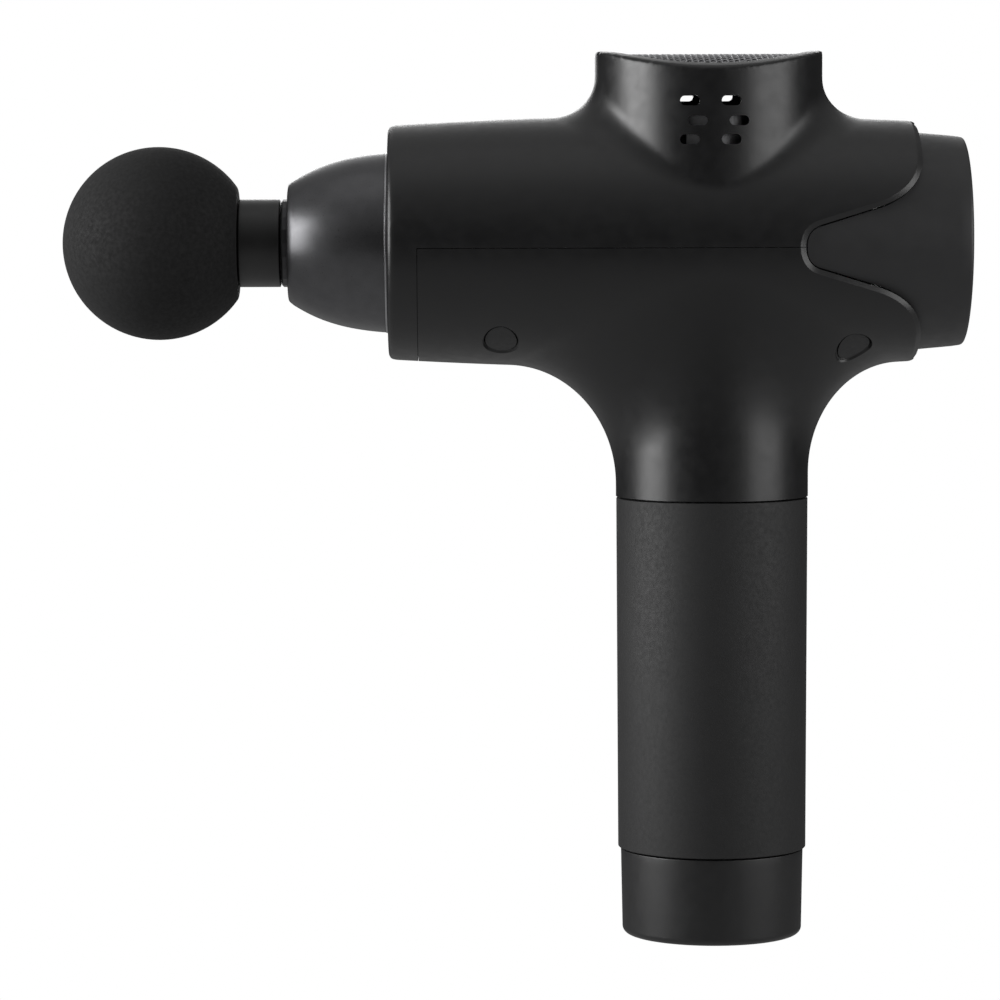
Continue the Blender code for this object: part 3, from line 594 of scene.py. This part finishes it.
def display():
    """The lens, domed by a hair, with the rounded edge of moulded glass."""
    face, back, bulge, edge_r = LENS_HIGH.x, LENS_LOW.x, 0.25, 0.8
    dome = [(r, face - bulge * (r / LENS_R) ** 2) for r in np.linspace(0.6, LENS_R - edge_r, 20)]
    edge = arc((LENS_R - edge_r, face - bulge - edge_r), edge_r, 88, 0, 8)
    profile = [(0, face)] + dome + edge + [(LENS_R, back), (0, back)]
    return turned("display_window", profile, "X", (0, 0, AXIS_Z))


WEAVE_R, WIRE_R, WIRE_PITCH, WIRE_SIDES = TOWER_MOUTH_R - GAP - 0.5, 0.27, 1.5, 6


def weave_height(y):
    """Height of the grille's middle surface, which follows the tower's arched top."""
    top = TOWER_CREST_UP - GRILLE_DROP - 0.1
    return top - (VAULT_R - math.sqrt(VAULT_R ** 2 - y ** 2)) - 2 * WIRE_R


def add_wire(bm, number, across):
    """One wire of the weave, along Y or, if across, along X. It waves over and under the others."""
    fixed = (number + 0.5) * WIRE_PITCH
    if abs(fixed) >= WEAVE_R - 0.3:
        return
    reach = math.sqrt(WEAVE_R ** 2 - fixed ** 2)
    steps = max(4, int(2 * reach / WIRE_PITCH * 3))
    sign = -1 if (number + across) % 2 else 1
    side, up = Vector((0, 1, 0)) if across else Vector((1, 0, 0)), Vector((0, 0, 1))
    turns = [2 * math.pi * k / WIRE_SIDES for k in range(WIRE_SIDES)]
    rows = []
    for i in range(steps + 1):
        along = -reach + 2 * reach * i / steps
        wave = WIRE_R * math.cos(math.pi * along / WIRE_PITCH) * sign
        x, y = (along, fixed) if across else (fixed, along)
        middle = Vector((TOWER_X, 0, AXIS_Z)) + Vector((x, y, weave_height(y) + wave))
        rows.append([
            bm.verts.new((middle + (side * math.cos(t) + up * math.sin(t)) * WIRE_R) * MM)
            for t in turns
        ])
    for a, b in zip(rows, rows[1:]):
        for k in range(WIRE_SIDES):
            j = (k + 1) % WIRE_SIDES
            bm.faces.new((a[k], a[j], b[j], b[k]))
    bm.faces.new(rows[0])
    bm.faces.new(rows[-1])


def grille():
    """Woven wire under the tower's arched top, held in a thin rim."""
    bm = bmesh.new()
    count = int(WEAVE_R / WIRE_PITCH)
    for across in (False, True):
        for number in range(-count, count + 1):
            add_wire(bm, number, across)
    bmesh.ops.recalc_face_normals(bm, faces=bm.faces)
    wires = from_bmesh("grille_weave", bm)
    inner, outer, low, high = WEAVE_R - 1.1, TOWER_MOUTH_R - GAP, 40, 58
    profile = rounded([(inner, low), (inner, high), (outer, high), (outer, low)], 0.1)
    rim = turned("grille_rim", profile, at=(TOWER_X, 0, AXIS_Z))
    boolean(rim, [vault("rim_top", GRILLE_DROP - 0.15)], "INTERSECT")
    boolean(rim, [vault("rim_bottom", GRILLE_DROP + 1.1)], "DIFFERENCE")
    return wires, rim


# ---------------------------------------------------------------- nozzle, head and screw plugs

def nozzle():
    """The bell, and the bright machined ring between it and the collar. Its flange sits behind
    the collar's opening, and its lip leaves room for the plunger."""
    at = (0, 0, AXIS_Z)
    flange_back, flange_front, root, mouth = -78.7, -80.7, -84.4, -109.4
    neck_r, bore_r, ring_r = 22.6, 11.8, 23.2
    flange = [(26.5, flange_back), (26.5, flange_front), (neck_r, flange_front), (neck_r, root)]
    shoulder = (15.7, -108.6)
    outside = bezier((23.12, root), (22.4, -93.6), (20.7, -101.1), shoulder, 48)
    lip = rounded([shoulder, (14.9, mouth), (bore_r, mouth), (bore_r, -106.1)], 0.7)
    inside = [(14.9, -106.1), (17.6, -100.5), (20.6, -88.0), (20.8, flange_back)]
    bell = turned("nozzle_shell", flange + outside + lip[1:] + inside, "X", at)
    ring = turned("bell_ring", rounded([
        (22.62, -80.9), (ring_r, -80.9), (ring_r, BARREL_FRONT - 0.1), (23.3, BARREL_FRONT - 0.2),
        (ring_r, -84.3), (22.62, -84.3)
    ], 0.06), "X", at)
    return bell, ring


def ball():
    """The foam ball, with a soft edge round its flat face and a hole for the stem's tenon."""
    face = math.degrees(math.acos((BALL_FLAT_X - BALL_X) / BALL_R))
    skin = []
    steps, softened = 160, 6
    for i in range(steps):
        t = math.radians(face + (180 - face) * i / steps)
        skin.append((BALL_R * math.sin(t), BALL_X + BALL_R * math.cos(t)))
    hole_r, hole_end = TENON_R + GAP, TENON_END - 0.4
    hole = [(0, hole_end), (hole_r, hole_end), (hole_r, BALL_FLAT_X)]
    edge = rounded([hole[-1], skin[0], skin[softened]], 0.8)
    profile = hole + edge[1:-1] + skin[softened:] + [(0, BALL_X - BALL_R)]
    return turned("ball_foam", profile, "X", (0, 0, AXIS_Z))


def stem():
    """The stem: a tenon in the ball, a plain collar, and a shank with two O-ring grooves."""
    collar, stop = PLUNGER_FRONT - GAP, BALL_FLAT_X + GAP
    shank_end, groove_r, half_groove = -86, 5.9, 0.9
    shank = [(0, shank_end), (6.0, shank_end), (SHANK_R, shank_end - 1.2)]
    for x in O_RING_SPOTS:
        rear, front = x + half_groove, x - half_groove
        shank += [(SHANK_R, rear), (groove_r, rear), (groove_r, front), (SHANK_R, front)]
    flange = rounded([
        (SHANK_R, collar), (STEM_COLLAR_R, collar), (STEM_COLLAR_R, stop),
        (TENON_R, stop), (TENON_R, TENON_END), (0, TENON_END),
    ], 0.35)
    return turned("stem_body", shank + flange, "X", (0, 0, AXIS_Z))


def plugs(skin):
    """Rubber plugs over the casing screws. Their faces follow the skin, a little below it."""
    points = np.empty(len(skin.data.vertices) * 3)
    outward = np.empty(len(skin.data.vertices) * 3)
    skin.data.vertices.foreach_get("co", points)
    skin.data.vertex_normals.foreach_get("vector", outward)
    skin.data.vertices.foreach_set("co", points - outward * PLUG_SUNK * MM)
    skin.data.update()
    below_skin = -40
    made = []
    for number, spot in enumerate(SCREW_SPOTS, 1):
        top = corners(f"screw_plug_{number}")[1].z - AXIS_Z
        plug = plug_prism(f"plug_cap_{number}", spot, PLUG_R, below_skin, top)
        made.append(boolean(plug, [link("plug_skin", skin.data.copy())], "INTERSECT"))
    drop(skin)
    return made


# ---------------------------------------------------------------- handle

def grip():
    """The rubber sleeve, a little wider at its top."""
    top_r, low_r, bore = GRIP_HIGH.x, GRIP_HIGH.x - 0.4, 22.4
    low, high = GRIP_LOW.z, GRIP_HIGH.z + 0.35
    return turned("grip_skin", rounded([(bore, high), (top_r, high), (low_r, low), (bore, low)], 0.25))


def battery_tube():
    """The tube inside the grip, with the narrower spigot that enters the neck."""
    low, high = corners("battery_tube")
    spigot_r, spigot_bore, tube_bore, shoulder = high.x - 0.3, 19.7, 20.3, GRIP_HIGH.z + 0.4
    outside = rounded([
        (spigot_bore, high.z), (spigot_r, high.z), (spigot_r, shoulder), (high.x, shoulder),
        (high.x, low.z),
    ], 0.6)
    inside = [(tube_bore, low.z), (tube_bore, shoulder), (spigot_bore, shoulder + 2)]
    return turned("tube_shell", outside + inside)


def charge_socket():
    """A barrel socket: a metal sleeve round its centre pin."""
    outer_r, bore_r, pin_r = 4.5, 2.8, 0.9
    top, floor, mouth, pin_end = 13.5, 9.5, 0.5, 2.4
    sleeve = rounded([(outer_r, top), (outer_r, mouth), (bore_r, mouth), (bore_r, floor)], 0.35)
    pin = [(pin_r, floor)] + arc((0, pin_end), pin_r, 0, -84, 6) + [(0, pin_end - pin_r)]
    return turned("socket_sleeve", [(0, top)] + sleeve + pin, at=(CHARGE_X, 0, 0), sides=ROUND)


def base():
    """The base cap, with the charge hole and the switch slot in its underside. Its lip enters the
    battery tube."""
    height, floor, lip_r, lip_bore = BASE_TOP - 7.65, 3.0, 20.0, 17.4
    foot = arc((BASE_FOOT_R - BASE_EDGE, BASE_EDGE), BASE_EDGE, 0, -90, 12)
    top = rounded([(lip_r, height), (BASE_TOP_R, height), (BASE_TOP_R - 0.05, height - 2)], 0.25)
    lip = [(lip_bore, floor), (lip_bore, BASE_TOP), (lip_r - 0.6, BASE_TOP), (lip_r, BASE_TOP - 1)]
    cap = turned("base_shell", [(0, floor)] + lip + top + foot + [(0, 0)])
    low, high, slot_x, slot_y = -2, 6, 2.6, 5
    hole = disc("charge_hole", 4.8, low, high, at=(CHARGE_X, 0, 0), sides=ROUND)
    slot = block("switch_slot", (SWITCH_X - slot_x, -slot_y, low), (SWITCH_X + slot_x, slot_y, high))
    return boolean(cap, [hole, slot], "DIFFERENCE")


# ---------------------------------------------------------------- materials

class Surface:
    """A Principled material whose colour, roughness and relief vary with noise in object space."""

    def __init__(self, name, colour, roughness, metallic=0.0):
        self.material = bpy.data.materials.new(name)
        self.material.use_nodes = True
        self.nodes, self.links = self.material.node_tree.nodes, self.material.node_tree.links
        self.shader = self.nodes["Principled BSDF"]
        self.colour, self.roughness, self.height = colour, roughness, None
        self.shader.inputs["Base Color"].default_value = (*colour, 1.0)
        self.shader.inputs["Roughness"].default_value = roughness
        self.shader.inputs["Metallic"].default_value = metallic
        self.place = self.nodes.new("ShaderNodeTexCoord").outputs["Object"]

    def set(self, **sockets):
        for name, value in sockets.items():
            self.shader.inputs[name.replace("_", " ")].default_value = value
        return self

    def noise(self, size, detail=2.0, stretch=(1, 1, 1), kind="ShaderNodeTexNoise"):
        """A noise whose grains are about size millimetres, drawn out by stretch."""
        place = self.place
        if stretch != (1, 1, 1):
            mapping = self.nodes.new("ShaderNodeMapping")
            mapping.inputs["Scale"].default_value = tuple(1 / s for s in stretch)
            self.links.new(place, mapping.inputs["Vector"])
            place = mapping.outputs["Vector"]
        texture = self.nodes.new(kind)
        texture.inputs["Scale"].default_value = 1 / (size * MM)
        if "Detail" in texture.inputs:
            texture.inputs["Detail"].default_value = detail
        self.links.new(place, texture.inputs["Vector"])
        return texture.outputs["Distance" if kind == "ShaderNodeTexVoronoi" else 0]

    def ranged(self, source, low, high, from_low=0.3, from_high=0.7):
        """The source stretched from one range to another, and held within it."""
        spread = self.nodes.new("ShaderNodeMapRange")
        ends = {"From Min": from_low, "From Max": from_high, "To Min": low, "To Max": high}
        for name, value in ends.items():
            spread.inputs[name].default_value = value
        self.links.new(source, spread.inputs["Value"])
        return spread.outputs["Result"]

    def tint(self, source, dark, light):
        """Colour between two multiples of the base colour."""
        mix = self.nodes.new("ShaderNodeMix")
        mix.data_type = "RGBA"
        mix.inputs[6].default_value = (*(c * dark for c in self.colour), 1.0)
        mix.inputs[7].default_value = (*(min(1.0, c * light) for c in self.colour), 1.0)
        self.links.new(self.ranged(source, 0.0, 1.0), mix.inputs["Factor"])
        self.links.new(mix.outputs[2], self.shader.inputs["Base Color"])
        return self

    def gloss(self, source, low, high):
        self.links.new(self.ranged(source, low, high), self.shader.inputs["Roughness"])
        return self

    def relief(self, source, depth, strength=1.0):
        """Bumps this deep, in millimetres, over those added before."""
        bump = self.nodes.new("ShaderNodeBump")
        bump.inputs["Distance"].default_value = depth * MM
        bump.inputs["Strength"].default_value = strength
        self.links.new(source, bump.inputs["Height"])
        if self.height:
            self.links.new(self.height, bump.inputs["Normal"])
        self.height = bump.outputs["Normal"]
        self.links.new(self.height, self.shader.inputs["Normal"])
        return self


def moulded(name, colour, roughness, grain=0.22, depth=0.006):
    """Satin moulded plastic with a fine spark-eroded grain and faint flow marks."""
    s = Surface(name, colour, roughness)
    s.tint(s.noise(9.0, 4.0), 0.9, 1.1)
    s.gloss(s.noise(3.0, 3.0), roughness - 0.035, roughness + 0.035)
    return s.relief(s.noise(grain, 2.0), depth)


def soft_rubber(name, colour, roughness, grain=0.3, depth=0.02):
    """Matte rubber with a fine pebbled grain."""
    s = Surface(name, colour, roughness)
    pebbles = s.noise(grain, kind="ShaderNodeTexVoronoi")
    s.tint(s.noise(6.0, 5.0), 0.88, 1.14)
    s.gloss(s.noise(1.2, 3.0), roughness - 0.06, roughness + 0.05)
    return s.relief(s.ranged(pebbles, 1.0, 0.0, 0.0, 0.8), depth)


def metal(name, colour, roughness, stretch=(1, 1, 1), metallic=1.0, depth=0.003):
    """Bare or plated metal, brushed along the stretch or finely blasted."""
    s = Surface(name, colour, roughness, metallic)
    grain = s.noise(0.25, 3.0, stretch)
    s.tint(s.noise(4.0, 3.0), 0.92, 1.06).gloss(grain, roughness - 0.06, roughness + 0.06)
    return s.relief(grain, depth)


def materials():
    """One material for each of the record's slots, and one for the bell's bright ring."""
    made = {
        "casing_black": moulded("casing_black", (0.0042, 0.0042, 0.0046), 0.38),
        "cover_black": moulded("cover_black", (0.0145, 0.0145, 0.0153), 0.47),
        "base_black": moulded("base_black", (0.0088, 0.0088, 0.0092), 0.45, 0.3, 0.008),
        "inner_plastic": moulded("inner_plastic", (0.020, 0.020, 0.021), 0.55),
        "switch_knob": moulded("switch_knob", (0.03, 0.03, 0.032), 0.38),
        "stem_plastic": moulded("stem_plastic", (0.010, 0.010, 0.010), 0.42, 0.3, 0.004),
        "bushing_polymer": moulded("bushing_polymer", (0.75, 0.74, 0.70), 0.45),
        "grip_rubber": soft_rubber("grip_rubber", (0.0062, 0.0062, 0.0065), 0.66, 0.42, 0.03),
        "plug_rubber": soft_rubber("plug_rubber", (0.014, 0.014, 0.0145), 0.6),
        "seal_rubber": soft_rubber("seal_rubber", (0.012, 0.012, 0.012), 0.7),
        "lead_sleeve": soft_rubber("lead_sleeve", (0.35, 0.02, 0.02), 0.45),
        "bell_alloy": metal("bell_alloy", (0.094, 0.094, 0.098), 0.33, metallic=0.9),
        "bell_ring": metal("bell_ring", (0.30, 0.30, 0.31), 0.30),
        "plunger_alloy": metal("plunger_alloy", (0.045, 0.045, 0.047), 0.36, (30, 1, 1), 0.7),
        "bright_steel": metal("bright_steel", (0.55, 0.55, 0.56), 0.28, (1, 1, 20)),
        "cast_alloy": metal("cast_alloy", (0.52, 0.53, 0.54), 0.48, depth=0.02),
        "motor_can": metal("motor_can", (0.80, 0.80, 0.82), 0.34, (1, 1, 30)),
        "copper_wire": metal("copper_wire", (0.62, 0.28, 0.12), 0.35, (12, 12, 1), depth=0.05),
        "magnet": metal("magnet", (0.10, 0.10, 0.11), 0.40, metallic=0.8),
        "grille_steel": metal("grille_steel", (0.34, 0.34, 0.35), 0.32),
        "contact_block": metal("contact_block", (0.60, 0.42, 0.14), 0.32),
        "cell_wrap": moulded("cell_wrap", (0.03, 0.16, 0.36), 0.38),
    }
    foam = Surface("head_foam", (0.0046, 0.0046, 0.0048), 0.86)
    cells = foam.noise(0.55, kind="ShaderNodeTexVoronoi")
    foam.tint(foam.noise(2.2, 6.0), 0.8, 1.25).gloss(foam.noise(1.0, 3.0), 0.8, 0.95)
    foam.relief(foam.noise(0.9, 4.0), 0.03).relief(foam.ranged(cells, 1.0, 0.0, 0.0, 0.7), 0.02)
    made["head_foam"] = foam.set(Specular_IOR_Level=0.4)

    glass = Surface("display_glass", (0.008, 0.008, 0.010), 0.07)
    glass.gloss(glass.noise(7.0, 6.0), 0.05, 0.13)
    made["display_glass"] = glass.set(Coat_Weight=0.6, Coat_Roughness=0.04)

    board = Surface("circuit_board", (0.02, 0.10, 0.05), 0.45)
    tracks = board.noise(1.6, kind="ShaderNodeTexVoronoi")
    board.tint(tracks, 0.6, 1.5).relief(tracks, 0.03)
    made["circuit_board"] = board
    return {slot: surface.material for slot, surface in made.items()}


# ---------------------------------------------------------------- light, floor and camera

CENTRE = Vector((-45, 0, 115))              # what the lights aim at
FLOOR_TOP = -30.6                           # leaves room for the handle, which comes off 30 mm down
ROOM_R = 3000                               # of the floor and the backdrop


def softbox(name, azimuth, elevation, distance, width, height, power):
    """An area light round the object, its size and distance in metres. Azimuth 0 is in front, and
    it grows towards the ball head."""
    a, e = math.radians(azimuth), math.radians(elevation)
    towards = Vector((-math.sin(a) * math.cos(e), -math.cos(a) * math.cos(e), math.sin(e)))
    data = bpy.data.lights.new(name, "AREA")
    data.shape, data.size, data.size_y = "RECTANGLE", width, height
    data.energy = power
    light = bpy.data.objects.new(name, data)
    light.location = CENTRE * MM + towards * distance
    light.rotation_euler = towards.to_track_quat("Z", "Y").to_euler()
    light.visible_camera = False
    bpy.context.scene.collection.objects.link(light)


def stage_white(name, obj):
    """Makes a floor or backdrop plain white, and seen by the camera only, so that it neither
    lights the object nor mirrors in it."""
    mat = bpy.data.materials.new(name)
    mat.use_nodes = True
    shader = mat.node_tree.nodes["Principled BSDF"]
    shader.inputs["Base Color"].default_value = (0.0, 0.0, 0.0, 1.0)
    shader.inputs["Roughness"].default_value = 0.9
    shader.inputs["Specular IOR Level"].default_value = 0.0
    shader.inputs["Emission Color"].default_value = (1, 1, 1, 1)
    shader.inputs["Emission Strength"].default_value = 1.0
    obj.data.materials.append(mat)
    obj.visible_glossy = obj.visible_diffuse = obj.visible_shadow = False


def surroundings():
    """A world that is bright above and below and dark round the middle, as (height, grey) stops
    with height from 0, straight down, to 1, straight up."""
    world = bpy.data.worlds.new("studio")
    world.use_nodes = True
    bpy.context.scene.world = world
    nodes, links = world.node_tree.nodes, world.node_tree.links
    back = nodes["Background"]
    place = nodes.new("ShaderNodeTexCoord").outputs["Generated"]
    split = nodes.new("ShaderNodeSeparateXYZ")
    ramp = nodes.new("ShaderNodeValToRGB")
    height = nodes.new("ShaderNodeMapRange")
    height.inputs["From Min"].default_value, height.inputs["From Max"].default_value = -1.0, 1.0
    links.new(place, split.inputs[0])
    links.new(split.outputs["Z"], height.inputs["Value"])
    links.new(height.outputs["Result"], ramp.inputs["Fac"])
    links.new(ramp.outputs["Color"], back.inputs["Color"])
    stops = ((0.0, 0.48), (0.30, 0.34), (0.46, 0.03), (0.60, 0.04), (0.86, 0.34), (1.0, 0.48))
    while len(ramp.color_ramp.elements) < len(stops):
        ramp.color_ramp.elements.new(0.5)
    for element, (at, grey) in zip(ramp.color_ramp.elements, stops):
        element.position, element.color = at, (grey, grey, grey, 1.0)
    back.inputs["Strength"].default_value = 1.0


def studio():
    """The white floor and backdrop, the surroundings and the lights."""
    bpy.context.scene.view_settings.view_transform = "Standard"
    surroundings()
    stage_white("floor_paper", disc("floor", ROOM_R, FLOOR_TOP - 5.4, FLOOR_TOP, sides=64))
    bm = bmesh.new()
    bmesh.ops.create_uvsphere(bm, u_segments=48, v_segments=24, radius=ROOM_R * MM)
    bmesh.ops.reverse_faces(bm, faces=bm.faces)
    stage_white("backdrop_paper", from_bmesh("backdrop", bm))
    softbox("left_box", 79, 13, 1.1, 0.74, 0.70, 15.5)
    softbox("right_box", -64, 12, 1.1, 0.82, 0.68, 6.2)
    softbox("overhead", 0, 80, 1.2, 1.2, 0.8, 0.7)
    softbox("front_fill", -26, 8, 1.6, 0.4, 0.8, 0.25)
    softbox("back_light", 180, 12, 1.4, 0.7, 0.5, 4.4)
    softbox("back_high", 180, 31, 1.4, 1.0, 0.56, 1.15)


CAMERA_AT, CAMERA_LENS = (-65.722, -1060.0, 185.625), 147.374
CAMERA_YAW, CAMERA_PITCH, CAMERA_ROLL = 0.58, -3.903, -0.184


def camera():
    """A long lens in front, turned by yaw, then tipped by pitch, then rolled, in degrees."""
    data = bpy.data.cameras.new("camera")
    data.sensor_width, data.lens = 36.0, CAMERA_LENS
    data.clip_start, data.clip_end = 0.05, 20.0
    yaw, pitch, roll = (math.radians(a) for a in (CAMERA_YAW, CAMERA_PITCH, CAMERA_ROLL))
    level = math.cos(pitch)
    forward = Vector((math.sin(yaw) * level, math.cos(yaw) * level, math.sin(pitch)))
    right = forward.cross(Vector((0, 0, 1))).normalized()
    up = right.cross(forward)
    across = right * math.cos(roll) + up * math.sin(roll)
    above = up * math.cos(roll) - right * math.sin(roll)
    cam = bpy.data.objects.new("camera", data)
    turn = Matrix((across, above, -forward)).transposed().to_4x4()
    cam.matrix_world = Matrix.Translation(Vector(CAMERA_AT) * MM) @ turn
    bpy.context.scene.collection.objects.link(cam)
    bpy.context.scene.camera = cam


# ---------------------------------------------------------------- assembly

def wear(obj, body, material, stands_for, angle=SMOOTH_ANGLE):
    """Gives a finished piece its material and its body, and hides the CAD node it stands for."""
    obj.data.materials.clear()
    obj.data.materials.append(material)
    shade(obj, angle)
    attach(obj, body)
    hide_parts(stands_for)
    return obj


def dress_cad_nodes(made):
    """The CAD nodes that stay get their slot's material and smooth round faces."""
    for part in frame["record"]["subparts"]:
        node = frame["nodes"][part["node"]]
        node.data.materials.clear()
        node.data.materials.append(made[part["material_slot"]])
        shade(node, CAD_SMOOTH_ANGLE)


def assemble():
    """Makes every finished piece. Each replaces its CAD node, and the inner nodes stay."""
    made = materials()
    dress_cad_nodes(made)
    skin = casing_skin()
    upper, lower = casings(skin)
    wear(upper, "housing", made["casing_black"], "upper_casing")
    wear(lower, "housing", made["casing_black"], "lower_casing")
    wear(rear_cover(), "housing", made["cover_black"], "rear_cover")
    wear(display(), "housing", made["display_glass"], "display_lens")
    wires, rim = grille()
    wear(wires, "housing", made["grille_steel"], "top_grille", angle=50)
    wear(rim, "housing", made["grille_steel"], "top_grille")
    bell, ring = nozzle()
    wear(bell, "housing", made["bell_alloy"], "nozzle_bell")
    wear(ring, "housing", made["bell_ring"], "nozzle_bell")
    for number, plug in enumerate(plugs(skin), 1):
        wear(plug, "housing", made["plug_rubber"], f"screw_plug_{number}")
    head = wear(ball(), "head", made["head_foam"], "head_ball")
    wear(stem(), "head", made["stem_plastic"], "head_stem")
    wear(grip(), "battery_handle", made["grip_rubber"], "grip_sleeve")
    wear(battery_tube(), "battery_handle", made["inner_plastic"], "battery_tube")
    wear(charge_socket(), "battery_handle", made["bright_steel"], "charge_socket")
    wear(base(), "battery_handle", made["base_black"], "base_cap")


camera()
studio()
assemble()
